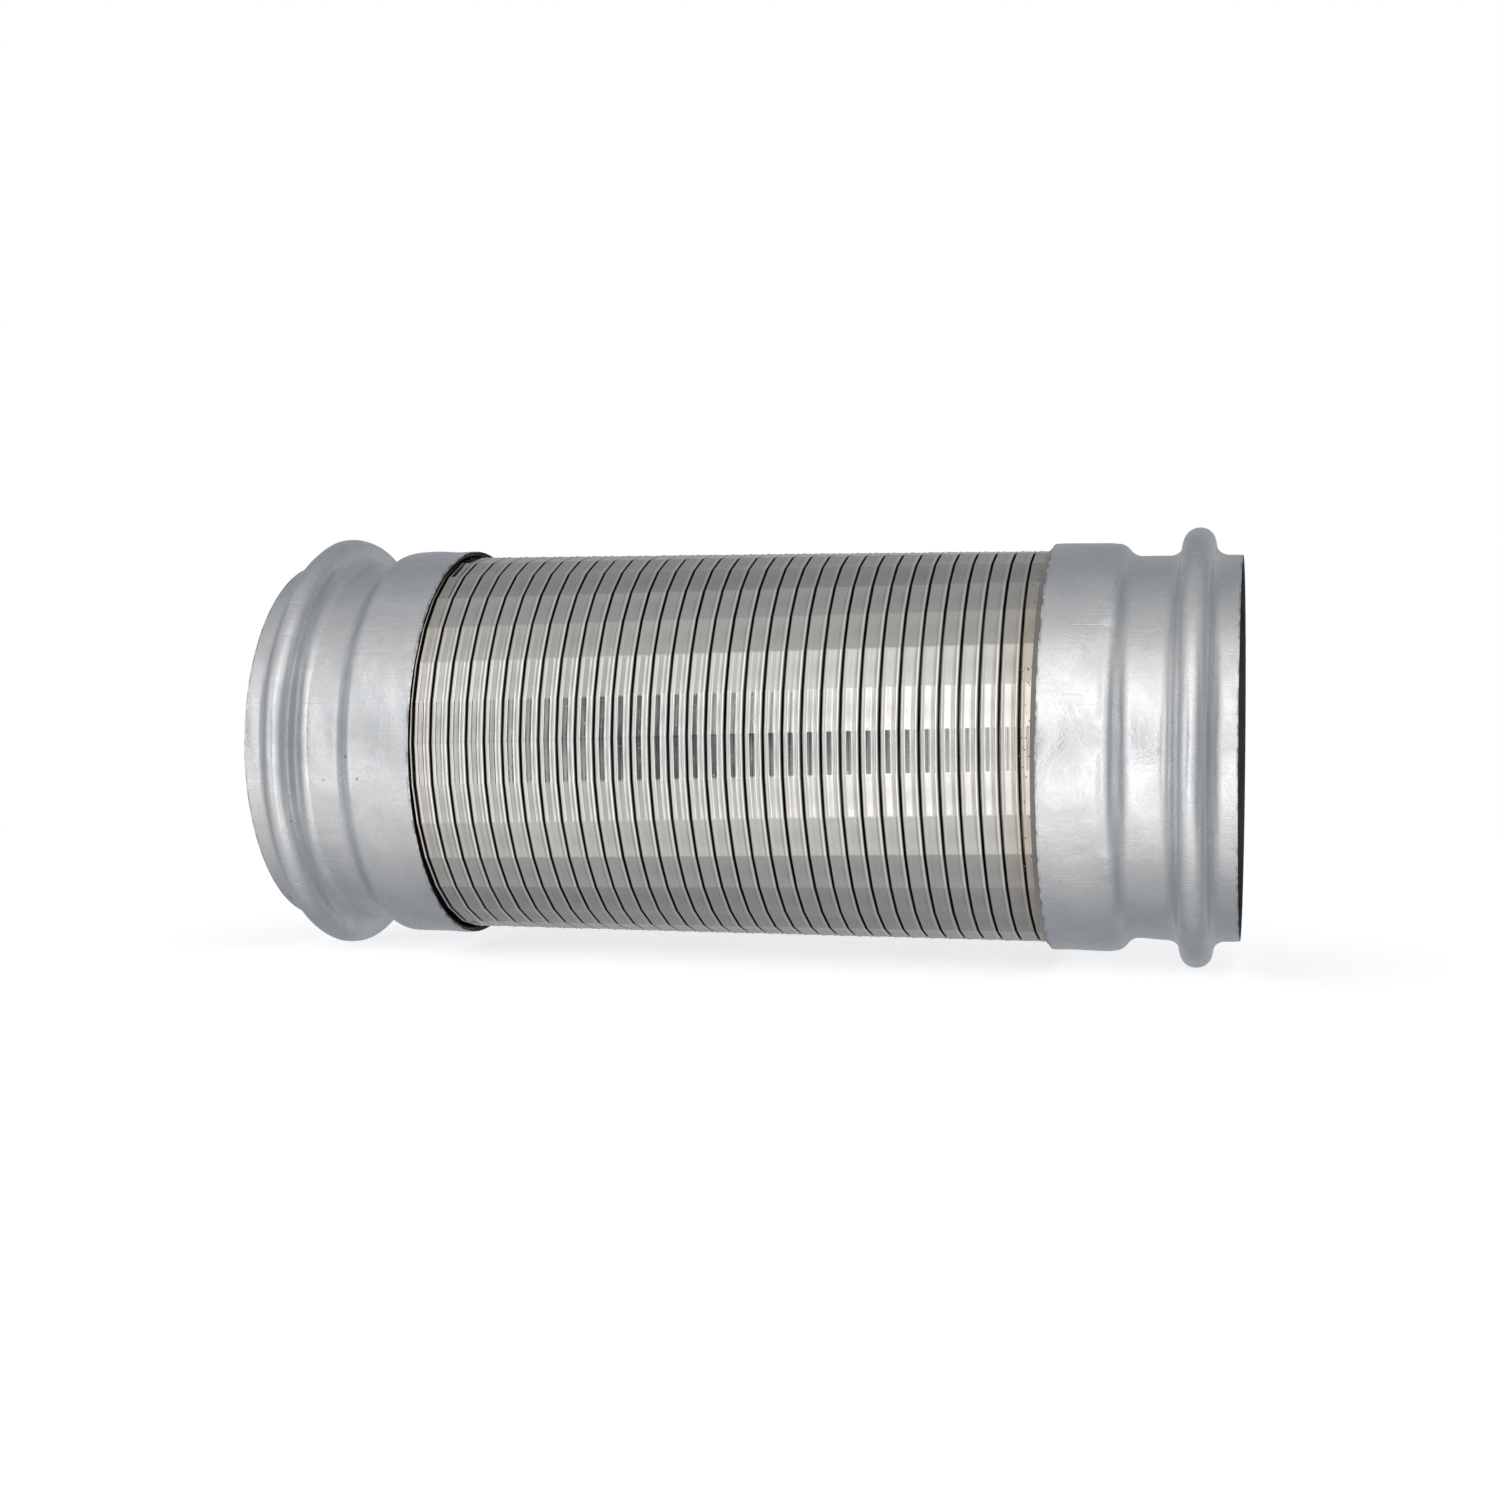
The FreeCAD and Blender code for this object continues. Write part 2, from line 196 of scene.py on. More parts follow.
class Tree:
    """Short spellings for the nodes of one material or world."""

    def __init__(self, owner):
        owner.use_nodes = True
        self.tree = owner.node_tree
        self.tree.nodes.clear()

    def node(self, kind, **settings):
        made = self.tree.nodes.new(kind)
        for name, value in settings.items():
            setattr(made, name, value)
        return made

    def plug(self, value, socket):
        if isinstance(value, bpy.types.NodeSocket):
            self.tree.links.new(value, socket)
        elif socket.type == "RGBA":
            socket.default_value = (*value[:3], 1)
        else:
            socket.default_value = value

    def place(self, scale=(1, 1, 1)):
        """The object's own coordinates, stretched."""
        mapping = self.node("ShaderNodeMapping")
        self.plug(self.node("ShaderNodeTexCoord").outputs["Object"], mapping.inputs["Vector"])
        mapping.inputs["Scale"].default_value = scale
        return mapping.outputs["Vector"]

    def noise(self, vector, scale, detail=3.0, roughness=0.55, distortion=0.0):
        made = self.node("ShaderNodeTexNoise")
        self.plug(vector, made.inputs["Vector"])
        for name, value in (("Scale", scale), ("Detail", detail), ("Roughness", roughness),
                            ("Distortion", distortion)):
            made.inputs[name].default_value = value
        return made.outputs["Fac"]

    def math(self, operation, a, b=0.0, clamp=False):
        made = self.node("ShaderNodeMath", operation=operation, use_clamp=clamp)
        self.plug(a, made.inputs[0])
        self.plug(b, made.inputs[1])
        return made.outputs[0]

    def span(self, value, low, high, to_low=0.0, to_high=1.0, smooth=False):
        """value carried from low..high to to_low..to_high, held at both ends."""
        made = self.node("ShaderNodeMapRange",
                         interpolation_type="SMOOTHSTEP" if smooth else "LINEAR")
        for socket, given in zip(made.inputs, (value, low, high, to_low, to_high)):
            self.plug(given, socket)
        return made.outputs["Result"]

    def mix(self, share, a, b, blend="MIX"):
        made = self.node("ShaderNodeMix", data_type="RGBA", blend_type=blend)
        self.plug(share, made.inputs["Factor"])
        self.plug(a, made.inputs[6])
        self.plug(b, made.inputs[7])
        return made.outputs[2]

    def split(self, vector):
        made = self.node("ShaderNodeSeparateXYZ")
        self.plug(vector, made.inputs[0])
        return made.outputs

    def ramp(self, value, stops):
        """A smooth curve through (place, brightness) stops."""
        made = self.node("ShaderNodeValToRGB")
        band = made.color_ramp
        band.interpolation = "EASE"
        while len(band.elements) < len(stops):
            band.elements.new(0.5)
        for element, (where, level) in zip(band.elements, stops):
            element.position = where
        for element, (where, level) in zip(band.elements, stops):
            element.color = (level, level, level, 1)
        self.plug(value, made.inputs[0])
        return made.outputs["Color"]

    def bump(self, height, distance, strength=1.0, under=None):
        made = self.node("ShaderNodeBump")
        made.inputs["Distance"].default_value = distance
        made.inputs["Strength"].default_value = strength
        self.plug(height, made.inputs["Height"])
        if under is not None:
            self.plug(under, made.inputs["Normal"])
        return made.outputs["Normal"]

    def surface(self, **inputs):
        """The metal shader, with every finish linked or set on its own socket."""
        shader = self.node("ShaderNodeBsdfPrincipled")
        for name, value in inputs.items():
            self.plug(value, shader.inputs[name.replace("_", " ")])
        self.plug(shader.outputs[0], self.node("ShaderNodeOutputMaterial").inputs["Surface"])


def finishes():
    return bpy.context.scene.connector_finishes


def radius_from_axis(tree):
    _, y, z = tree.split(tree.place())
    return tree.math("SQRT", tree.math("ADD", tree.math("MULTIPLY", y, y),
                                       tree.math("MULTIPLY", z, z)))


def stainless_material():
    """Bright rolled strip: fine lines along the strip, smudges, painted shade deep in the seams, a
    painted highlight on the fold before each seam, heat tint.
    """
    found = bpy.data.materials.get("rolled_stainless_strip")
    if found:
        return found
    material = bpy.data.materials.new("rolled_stainless_strip")
    t = Tree(material)
    colours = finishes()
    x, y, z = t.split(t.place())
    rolling = t.noise(t.place((1700, 9, 9)), 1.0, 4.0, 0.65)
    streak = t.noise(t.place((2600, 34, 34)), 1.0, 3.0, 0.6)
    coarse_rolling = t.noise(t.place((420, 5, 5)), 1.0, 2.0, 0.5)
    smudge = t.noise(t.place((30, 30, 30)), 1.0, 4.0, 0.62, 0.6)
    speck = t.noise(t.place((900, 900, 900)), 1.0, 2.0, 0.5)
    nicks = t.noise(t.place((90, 1900, 1900)), 1.0, 1.0, 0.5)

    # painted shade: the strip darkens to near black deep in the seams, in patches
    darkening = t.span(radius_from_axis(t), HOSE_RADIUS - 1.15 * MM, HOSE_RADIUS - 0.35 * MM,
                   1.0, 0.0, True)
    seam_shade_patches = t.span(t.noise(t.place((150, 45, 45)), 1.0, 3.0), 0.35, 0.65, 0.55, 1.0)
    darkening = t.math("MULTIPLY", darkening, seam_shade_patches)

    clean = t.mix(t.span(smudge, 0.3, 0.75), colours.strip,
                  tuple(c * 0.88 for c in colours.strip))
    clean = t.mix(t.span(rolling, 0.55, 0.75, 0.0, 0.35), clean, (0.50, 0.49, 0.475))
    # painted highlight: a bright line on the fold just before each seam
    strip = bpy.context.scene.connector_strip
    along = t.math("DIVIDE", t.math("ARCTAN2", z, t.math("MULTIPLY", y, -1.0)), math.tau)
    across = t.math("ADD", t.math("ADD", x, TUBE_MOUTH - strip.lead),
                    t.math("MULTIPLY", along, strip.pitch))
    across = t.math("FLOORED_MODULO", across, strip.pitch)
    ridge = strip.pitch - strip.gap / 2 - 0.50 * MM
    painted_ridge_highlight = t.math("MULTIPLY", t.span(across, ridge - 0.45 * MM, ridge - 0.15 * MM, 0.0, 1.0, True),
                   t.span(across, ridge + 0.15 * MM, ridge + 0.35 * MM, 1.0, 0.0, True))
    painted_ridge_highlight = t.math("MULTIPLY", painted_ridge_highlight, t.span(smudge, 0.35, 0.6, 0.55, 1.0))
    clean = t.mix(painted_ridge_highlight, clean, (0.97, 0.965, 0.95))
    burnt = t.math("ADD", t.span(x, TUBE_MOUTH - 15 * MM, TUBE_MOUTH - 1 * MM, 0.0, 0.75, True),
                   t.span(x, 8 * MM - TUBE_MOUTH, -TUBE_MOUTH, 0.0, 0.45, True), clamp=True)
    burnt = t.math("MULTIPLY", burnt, t.span(coarse_rolling, 0.3, 0.7, 0.45, 1.0))
    tinted = t.mix(burnt, clean, colours.tint)
    # painted shade deep in the seams, laid over the strip's colour
    colour = t.mix(darkening, tinted, (0.05, 0.043, 0.036))

    rough = t.math("ADD", t.span(streak, 0.36, 0.68, 0.05, 0.15),
                   t.span(smudge, 0.45, 0.8, 0.0, 0.10))
    rough = t.math("ADD", rough, t.math("MULTIPLY", darkening, 0.4), clamp=True)
    normal = t.bump(rolling, 0.012 * MM, 0.6)
    normal = t.bump(coarse_rolling, 0.03 * MM, 0.5, normal)
    normal = t.bump(t.span(nicks, 0.70, 0.80), 0.012 * MM, 0.5, normal)
    normal = t.bump(t.span(speck, 0.66, 0.80), 0.015 * MM, 0.6, normal)
    round_hose = t.node("ShaderNodeCombineXYZ")   # the rolling lines run this way
    t.plug(t.math("MULTIPLY", z, -1.0), round_hose.inputs["Y"])
    t.plug(y, round_hose.inputs["Z"])
    t.surface(Base_Color=colour, Metallic=1.0, Roughness=rough, Anisotropic=0.3,
              Anisotropic_Rotation=0.25, Tangent=round_hose.outputs["Vector"], Normal=normal)
    return material


def aluminised_material():
    """Dull hot-dipped aluminium: soft mottling, drawn lines along the tube, pits and rub marks,
    darker at the rim, painted shade at the mouth.
    """
    found = bpy.data.materials.get("aluminised_steel")
    if found:
        return found
    material = bpy.data.materials.new("aluminised_steel")
    t = Tree(material)
    colours = finishes()
    x, _, _ = t.split(t.place())
    mottle = t.noise(t.place((48, 48, 48)), 1.0, 6.0, 0.68, 0.8)
    cloud = t.noise(t.place((11, 11, 11)), 1.0, 3.0)
    grain = t.noise(t.place((1300, 1300, 1300)), 1.0, 2.0)
    drawn = t.noise(t.place((30, 1100, 1100)), 1.0, 4.0, 0.7)
    drawn_where = t.span(t.noise(t.place((14, 30, 30)), 1.0, 3.0), 0.42, 0.58)
    scratch = t.math("MULTIPLY", t.span(drawn, 0.52, 0.70), drawn_where)
    long_scratch = t.span(t.noise(t.place((9, 700, 700)), 1.0, 2.0), 0.70, 0.75)
    handled = t.span(t.noise(t.place((160, 90, 90)), 1.0, 4.0, 0.6, 1.5), 0.56, 0.72)
    pit_cells = t.node("ShaderNodeTexVoronoi")
    pit_cells.inputs["Scale"].default_value = 150
    t.plug(t.place(), pit_cells.inputs["Vector"])
    pit_where = t.span(t.noise(t.place((60, 60, 60)), 1.0, 2.0), 0.56, 0.62)
    pits = t.span(pit_cells.outputs["Distance"], 0.05, 0.10, 1.0, 0.0)
    pits = t.math("MULTIPLY", pits, pit_where)

    base = t.mix(t.span(mottle, 0.32, 0.68), colours.tube, tuple(c * 0.80 for c in colours.tube))
    base = t.mix(t.span(cloud, 0.4, 0.65, 0.0, 0.55), base, (0.90, 0.905, 0.91))
    base = t.mix(t.span(grain, 0.35, 0.75, 0.0, 0.16), base, (0.42, 0.44, 0.47))
    base = t.mix(t.math("MULTIPLY", scratch, 0.38), base, (0.84, 0.84, 0.85))
    base = t.mix(t.math("MULTIPLY", handled, 0.22), base, (0.50, 0.52, 0.56))
    base = t.mix(t.math("MULTIPLY", pits, 0.8), base, (0.12, 0.12, 0.13))
    edge = t.math("ABSOLUTE", x)
    # darker towards the rim; at the mouth a painted shade along the sleeve's cut edge; both in
    # patches
    rim_darkening = t.span(edge, TUBE_RIM - 0.9 * MM, TUBE_RIM, 0.0, 0.7, True)
    mouth_shade = t.span(edge, TUBE_MOUTH, TUBE_MOUTH + 1.3 * MM, 0.75, 0.0, True)
    edge_patches = t.span(t.noise(t.place((700, 260, 260)), 1.0, 3.0), 0.42, 0.58)
    darkening = t.math("MULTIPLY", t.math("MAXIMUM", rim_darkening, mouth_shade), edge_patches)
    # near-black at the rim, and painted shade at the mouth
    base = t.mix(darkening, base, (0.11, 0.10, 0.095))

    rough = t.math("ADD", t.span(mottle, 0.3, 0.72, 0.22, 0.38), t.math("MULTIPLY", scratch, -0.06))
    rough = t.math("ADD", rough, t.math("MULTIPLY", pits, 0.3), clamp=True)
    normal = t.bump(grain, 0.03 * MM, 0.6)
    normal = t.bump(mottle, 0.55 * MM, 0.5, normal)
    normal = t.bump(drawn, 0.03 * MM, 0.6, normal)
    normal = t.bump(scratch, -0.04 * MM, 0.8, normal)
    normal = t.bump(long_scratch, -0.06 * MM, 0.9, normal)
    normal = t.bump(handled, -0.03 * MM, 0.6, normal)
    normal = t.bump(pits, -0.10 * MM, 1.0, normal)
    t.surface(Base_Color=base, Metallic=1.0, Roughness=rough, Normal=normal)
    return material


def bore_shade_material():
    """Painted shade: near-black, patchy inside of the tubes."""
    found = bpy.data.materials.get("painted_shade_bore")
    if found:
        return found
    material = bpy.data.materials.new("painted_shade_bore")
    t = Tree(material)
    scale = t.noise(t.place((60, 60, 60)), 1.0, 6.0, 0.65)
    grain = t.noise(t.place((700, 700, 700)), 1.0, 3.0)
    colour = t.mix(t.span(scale, 0.4, 0.7), finishes().bore_shade, (0.09, 0.088, 0.088))
    normal = t.bump(grain, 0.05 * MM, 0.6)
    t.surface(Base_Color=colour, Metallic=0.6, Roughness=t.span(scale, 0.35, 0.7, 0.42, 0.7),
              Normal=normal)
    return material


def weld_material():
    """Rough weld metal with brown scale, dark pits and bright spatter."""
    found = bpy.data.materials.get("weld_metal")
    if found:
        return found
    material = bpy.data.materials.new("weld_metal")
    t = Tree(material)
    lumps = t.noise(t.place((420, 420, 420)), 1.0, 4.0, 0.65)
    fine = t.noise(t.place((1800, 1800, 1800)), 1.0, 3.0)
    long_way = t.noise(t.place((60, 60, 60)), 1.0, 3.0)
    colour = t.mix(t.span(lumps, 0.42, 0.62), (0.10, 0.085, 0.07), finishes().weld)
    colour = t.mix(t.span(fine, 0.56, 0.66), colour, (0.62, 0.60, 0.56))
    colour = t.mix(t.span(long_way, 0.5, 0.62, 0.0, 0.6), colour, (0.17, 0.13, 0.09))
    normal = t.bump(lumps, 0.25 * MM, 0.8)
    normal = t.bump(fine, 0.08 * MM, 0.7, normal)
    t.surface(Base_Color=colour, Metallic=0.85, Roughness=t.span(lumps, 0.35, 0.7, 0.55, 0.3),
              Normal=normal)
    return material


# ---- mesh helpers -----------------------------------------------------------------------------

def nothing_selected():
    if bpy.context.object and bpy.context.object.mode != "OBJECT":
        bpy.ops.object.mode_set(mode="OBJECT")
    bpy.ops.object.select_all(action="DESELECT")


def only(piece):
    nothing_selected()
    piece.select_set(True)
    bpy.context.view_layer.objects.active = piece


def apply_modifier(piece, kind, **settings):
    only(piece)
    made = piece.modifiers.new(kind.title(), kind)
    for name, value in settings.items():
        setattr(made, name, value)
    bpy.ops.object.modifier_apply(modifier=made.name)


def points_of(piece):
    flat = np.empty(len(piece.data.vertices) * 3, np.float32)
    piece.data.vertices.foreach_get("co", flat)
    return flat.reshape(-1, 3).astype(float)


def set_points(piece, points):
    piece.data.vertices.foreach_set("co", points.astype(np.float32).ravel())
    piece.data.update()


def smooth(piece, angle):
    """Smooth shading that keeps flats flat and edges sharper than angle crisp."""
    only(piece)
    bpy.ops.object.shade_smooth_by_angle(angle=math.radians(angle))
    apply_modifier(piece, "WEIGHTED_NORMAL", keep_sharp=True, weight=60)


def finish_piece(piece, name, body, replaced):
    piece.name = name
    piece.data.name = name
    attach(piece, body)
    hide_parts(*replaced)


# ---- wound strip ------------------------------------------------------------------------------

def strip_section(sizes):
    """The outer face of the rolled strip as (x from the seam, radius), left to right."""
    left = sizes.gap / 2
    right = sizes.pitch - sizes.gap / 2
    top = HOSE_RADIUS
    foot = top - sizes.wall + sizes.thickness
    tail = sizes.pitch + right - 2 * sizes.thickness - 2 * left
    crown = [
        (0.00, 0.80), (0.02, 0.34), (0.10, 0.14), (0.27, 0.03), (0.50, 0.00), (0.70, 0.020),
        (0.88, 0.062), (1.05, 0.118), (1.20, 0.148), (1.38, 0.163), (1.60, 0.168), (1.95, 0.170),
        (2.30, 0.170), (2.65, 0.1705), (3.00, 0.172), (3.25, 0.179), (3.45, 0.199), (3.62, 0.238),
        (3.78, 0.272), (3.92, 0.272), (4.08, 0.225), (4.28, 0.145), (4.50, 0.095),
        (4.76, 0.085), (4.98, 0.105), (5.20, 0.175), (5.38, 0.32), (5.46, 0.80),
    ]
    stretch = (right - left) / (crown[-1][0] * MM)
    section = [(left, foot + sizes.thickness)]
    section += [(left + across * MM * stretch, top - down * MM) for across, down in crown]
    section += [(right, foot + 0.3 * MM), (right + 0.12 * MM, foot + 0.05 * MM),
                (right + 0.4 * MM, foot), (tail - 0.3 * MM, foot),
                (tail - 0.05 * MM, foot + 0.1 * MM), (tail, foot + 0.4 * MM),
                (tail, top - 1.3 * MM)]
    return section


def strip_stations(sizes, first_flat, last_flat):
    """Places along the strip as (angle in radians, share of the full radius).

    Each corner between two flats has three places, and each flat one more in its bowed middle.
    """
    per_flat = math.radians(FULL_TURN - math.degrees(sizes.drift)) / sizes.flats
    half = per_flat / 2
    reach = sizes.corner / HOSE_RADIUS
    chord = math.cos(half) / math.cos(half - reach)
    middle = math.cos(half) + sizes.bow / HOSE_RADIUS
    parting = sizes.parting / HOSE_RADIUS
    stations = []
    for flat in range(first_flat, last_flat):
        start = sizes.start + flat * per_flat
        stations += [(start, (chord + 1) / 2 if flat > first_flat else chord),
                     (start + reach, chord), (start + half, middle)]
        if flat < last_flat - 1:
            stations.append((start + per_flat - reach, chord))
    end = sizes.start + last_flat * per_flat
    stations.append((end - parting, chord))
    return stations


def wound_strip(sizes, first_flat, last_flat):
    """A flat sheet, rolled to the section and wound into a helix, with its thickness inwards."""
    section = strip_section(sizes)
    stations = strip_stations(sizes, first_flat, last_flat)
    nothing_selected()
    bpy.ops.mesh.primitive_grid_add(
        x_subdivisions=len(section) - 1, y_subdivisions=len(stations) - 1, size=1)
    piece = bpy.context.object
    grid = points_of(piece)
    across = np.rint((grid[:, 0] + 0.5) * (len(section) - 1)).astype(int)
    along = np.rint((grid[:, 1] + 0.5) * (len(stations) - 1)).astype(int)
    x, radius = np.array(section)[across].T
    angle, share = np.array(stations)[along].T
    seam = sizes.lead - TUBE_MOUTH - sizes.pitch * angle / math.tau
    radius = radius * share
    set_points(piece, np.stack(
        [seam + x, -radius * np.cos(angle), radius * np.sin(angle)], axis=1))
    only(piece)
    bpy.ops.object.mode_set(mode="EDIT")
    bpy.ops.mesh.select_all(action="SELECT")
    if not outward(piece):
        bpy.ops.mesh.flip_normals()
    bpy.ops.object.mode_set(mode="OBJECT")
    apply_modifier(piece, "SOLIDIFY", thickness=sizes.thickness, offset=-1, use_even_offset=True)
    return piece


def outward(piece):
    """Do most of the sheet's faces look away from the axis?"""
    looks = sum(face.area * (face.normal.y * face.center.y + face.normal.z * face.center.z)
                for face in piece.data.polygons)
    return looks > 0


def uneven(points, sizes, seed):
    """Points with each corner strayed a little in and out, and the seam a little to and fro."""
    pick = random.Random(seed)
    angle = np.arctan2(points[:, 2], -points[:, 1])
    place = np.mod(angle - sizes.start, math.tau) / math.tau * sizes.flats
    corners = np.arange(sizes.flats + 1)
    stray_in = [pick.uniform(-1, 1) * sizes.unevenness for _ in corners]
    stray_along = [pick.uniform(-1, 1) * sizes.unevenness * 0.6 for _ in corners]
    stray_in[-1], stray_along[-1] = stray_in[0], stray_along[0]
    radius = np.hypot(points[:, 1], points[:, 2])
    grown = 1 + np.interp(place, corners, stray_in) / radius
    moved = points * np.stack([np.ones_like(grown), grown, grown], axis=1)
    moved[:, 0] += np.interp(place, corners, stray_along)
    return moved


class CONNECTOR_OT_turns(bpy.types.Operator):
    """Winds one turn of strip and sets a copy of it in place of each moving turn"""

    bl_idname = "connector.turns"
    bl_label = "Wound turns"

    def execute(self, context):
        sizes = context.scene.connector_strip
        first = wound_strip(sizes, 0, sizes.flats)
        smooth(first, STRIP_EDGE)
        first.data.materials.append(stainless_material())
        slide = sizes.pitch * (1 - sizes.drift / math.tau)
        template = points_of(first)
        for turn, node in enumerate(TURN_NAMES):
            piece = first if turn == 0 else first.copy()
            if turn:
                piece.data = first.data.copy()
                context.collection.objects.link(piece)
            place = Matrix.Translation((slide * turn, 0, 0)) @ Matrix.Rotation(
                -sizes.drift * turn, 4, "X")
            set_points(piece, uneven(template, sizes, turn))
            piece.data.transform(place)
            number = node.split("_")[-1]
            finish_piece(piece, f"strip_turn_{number}", f"turn_{number}", [node])
        return {"FINISHED"}


class CONNECTOR_OT_anchored_turns(bpy.types.Operator):
    """Winds the turns that lie in the sleeves and saws them off square"""

    bl_idname = "connector.anchored_turns"
    bl_label = "Anchored turns"

    def execute(self, context):
        sizes = context.scene.connector_strip
        hidden = math.ceil((SAW_CUT - TUBE_MOUTH) / sizes.pitch) + 1
        moving = len(TURN_NAMES)
        for side, first_flat, last_flat in (
                (-1, sizes.flats, sizes.flats * (2 + hidden)),
                (1, -sizes.flats * (moving + hidden), -sizes.flats * (moving - 1))):
            piece = wound_strip(sizes, first_flat, last_flat)
            only(piece)
            bpy.ops.object.mode_set(mode="EDIT")
            bpy.ops.mesh.select_all(action="SELECT")
            bpy.ops.mesh.bisect(plane_co=(side * SAW_CUT, 0, 0), plane_no=(side, 0, 0),
                                use_fill=True, clear_outer=True)
            bpy.ops.object.mode_set(mode="OBJECT")
            set_points(piece, uneven(points_of(piece), sizes, 100 + side))
            smooth(piece, STRIP_EDGE)
            piece.data.materials.append(stainless_material())
            name = "left" if side < 0 else "right"
            finish_piece(piece, f"{name}_held_turns", f"{name}_end",
                         [f"{name}_anchored_turns"])
        return {"FINISHED"}


# ---- end tubes --------------------------------------------------------------------------------

def sweep(start, finish, first_round, steps):
    """Points of two tangent arcs from start to finish, level at both ends, without the last."""
    width, rise = finish[0] - start[0], finish[1] - start[1]
    total = (width * width + rise * rise) / (2 * abs(rise))
    lean = math.asin(min(width / total, 1.0))
    if abs(rise) >= total:
        lean = math.pi - lean
    up = 1 if rise > 0 else -1
    points = []
    for step in range(steps):
        turned = lean * step / steps
        points.append((start[0] + first_round * math.sin(turned),
                       start[1] + up * first_round * (1 - math.cos(turned))))
    other = total - first_round
    for step in range(steps):
        turned = lean * (1 - step / steps)
        points.append((finish[0] - other * math.sin(turned),
                       finish[1] - up * other * (1 - math.cos(turned))))
    return points


def tube_outline(sizes):
    """Outside of the right-hand tube as (x, radius), from its mouth to its rim."""
    step_start = TUBE_MOUTH + sizes.sleeve_length
    step_end = step_start + sizes.taper_length
    bead_start = step_end + sizes.neck_length
    bead_end = bead_start + sizes.bead_width
    crest_x = (bead_start + bead_end) / 2
    sleeve, neck = sizes.sleeve_radius, sizes.neck_radius
    rise = BEAD_CREST - neck
    flank = sizes.bead_width / 2
    rounds = (flank * flank + rise * rise) / (2 * rise)
    drop = sleeve - neck
    step_round = (sizes.taper_length ** 2 + drop ** 2) / (2 * drop) / 2
    outline = [(TUBE_MOUTH, sleeve - 0.25 * MM), (TUBE_MOUTH + 0.12 * MM, sleeve - 0.06 * MM),
               (TUBE_MOUTH + 0.4 * MM, sleeve)]
    outline += [(x, sleeve)
                for x in np.arange(TUBE_MOUTH + 1.2 * MM, step_start - 0.3 * MM, 0.9 * MM)]
    outline += sweep((step_start, sleeve), (step_end, neck), step_round, 6)
    outline += [(x, neck) for x in np.arange(step_end, bead_start - 0.3 * MM, 0.9 * MM)]
    outline += sweep((bead_start, neck), (crest_x, BEAD_CREST), rounds - sizes.crest_round, 9)
    outline += sweep((crest_x, BEAD_CREST), (bead_end, neck), sizes.crest_round, 9)
    outline += [(x, neck) for x in np.arange(bead_end, TUBE_RIM - 0.5 * MM, 0.8 * MM)]
    outline += [(TUBE_RIM - 0.3 * MM, neck), (TUBE_RIM - 0.05 * MM, neck - 0.07 * MM),
                (TUBE_RIM, neck - 0.3 * MM)]
    return outline


def wander(angle, x, waves, seed):
    """A soft seeded wave over the surface, between about -1 and 1."""
    pick = random.Random(seed)
    total = np.zeros_like(angle)
    for _ in range(waves):
        round_times = pick.randint(2, 11)
        total += math.sqrt(1 / waves) * np.sin(
            round_times * angle + pick.uniform(90, 420) * x + pick.uniform(0, math.tau))
    return total


def jaw_prints(angle, x, sizes, turned):
    """Depth of the flat prints that the expander's jaws left at the step, from 0 to 1."""
    place = np.mod((angle - turned) / math.tau * JAWS, 1.0)
    across = np.clip((0.5 - np.abs(place - 0.5) - 0.1) / 0.03, 0, 1)
    start = TUBE_MOUTH + sizes.sleeve_length - 1.5 * MM
    along = np.clip((np.abs(x) - start) / (0.8 * MM), 0, 1) * np.clip(
        (start + 6.8 * MM - np.abs(x)) / (1.5 * MM), 0, 1)
    return across * along


def end_tube(sizes, side):
    """A ring drawn out along the outline, given its wall, then dented and worn."""
    outline = tube_outline(sizes)
    nothing_selected()
    bpy.ops.mesh.primitive_circle_add(
        vertices=TUBE_SEGMENTS, radius=outline[0][1], location=(side * outline[0][0], 0, 0),
        rotation=(0, math.pi / 2, 0))
    piece = bpy.context.object
    bpy.ops.object.transform_apply(location=True, rotation=True, scale=True)
    bpy.ops.object.mode_set(mode="EDIT")
    bpy.ops.mesh.select_all(action="SELECT")
    for (x0, r0), (x1, r1) in zip(outline, outline[1:]):
        bpy.ops.mesh.extrude_region_move(
            TRANSFORM_OT_translate={"value": (side * (x1 - x0), 0, 0)})
        bpy.ops.transform.resize(value=(1, r1 / r0, r1 / r0), center_override=(side * x1, 0, 0))
    bpy.ops.mesh.select_all(action="SELECT")
    if not outward(bpy_synced(piece)):
        bpy.ops.mesh.flip_normals()
    bpy.ops.object.mode_set(mode="OBJECT")
    apply_modifier(piece, "SOLIDIFY", thickness=sizes.wall, offset=-1, use_even_offset=True)

    points = points_of(piece)
    angle = np.arctan2(points[:, 2], -points[:, 1])
    radius = np.hypot(points[:, 1], points[:, 2])
    distance = np.abs(points[:, 0])
    ends = np.clip((distance - TUBE_MOUTH) / (3 * MM), 0, 1) * np.clip(
        (TUBE_RIM - distance) / (2 * MM), 0.25, 1)
    stray = sizes.dent * 0.5 * ends * wander(angle, points[:, 0], 9, 7 + side)
    stray = np.minimum(stray, np.maximum(BEAD_CREST - radius - 0.02 * MM, 0))
    if side > 0:
        stray -= JAW_DEPTH * jaw_prints(angle, points[:, 0], sizes, JAW_TURN)
    grown = 1 + stray / radius
    points[:, 1:] *= grown[:, None]
    pick = random.Random(40 + side)
    ragged = [pick.uniform(0, RAGGED) for _ in range(TUBE_SEGMENTS)]
    column = np.rint((angle + math.pi) / math.tau * TUBE_SEGMENTS).astype(int) % TUBE_SEGMENTS
    at_edge = (distance > TUBE_RIM - 0.02 * MM) | (distance < TUBE_MOUTH + 0.02 * MM)
    inward = np.where(distance > (TUBE_MOUTH + TUBE_RIM) / 2, -1, 1) * side
    points[:, 0] += np.where(at_edge, np.array(ragged)[column] * inward, 0)
    set_points(piece, points)
    return piece


def bpy_synced(piece):
    """The piece with its edit-mode changes written back to its mesh."""
    piece.update_from_editmode()
    return piece


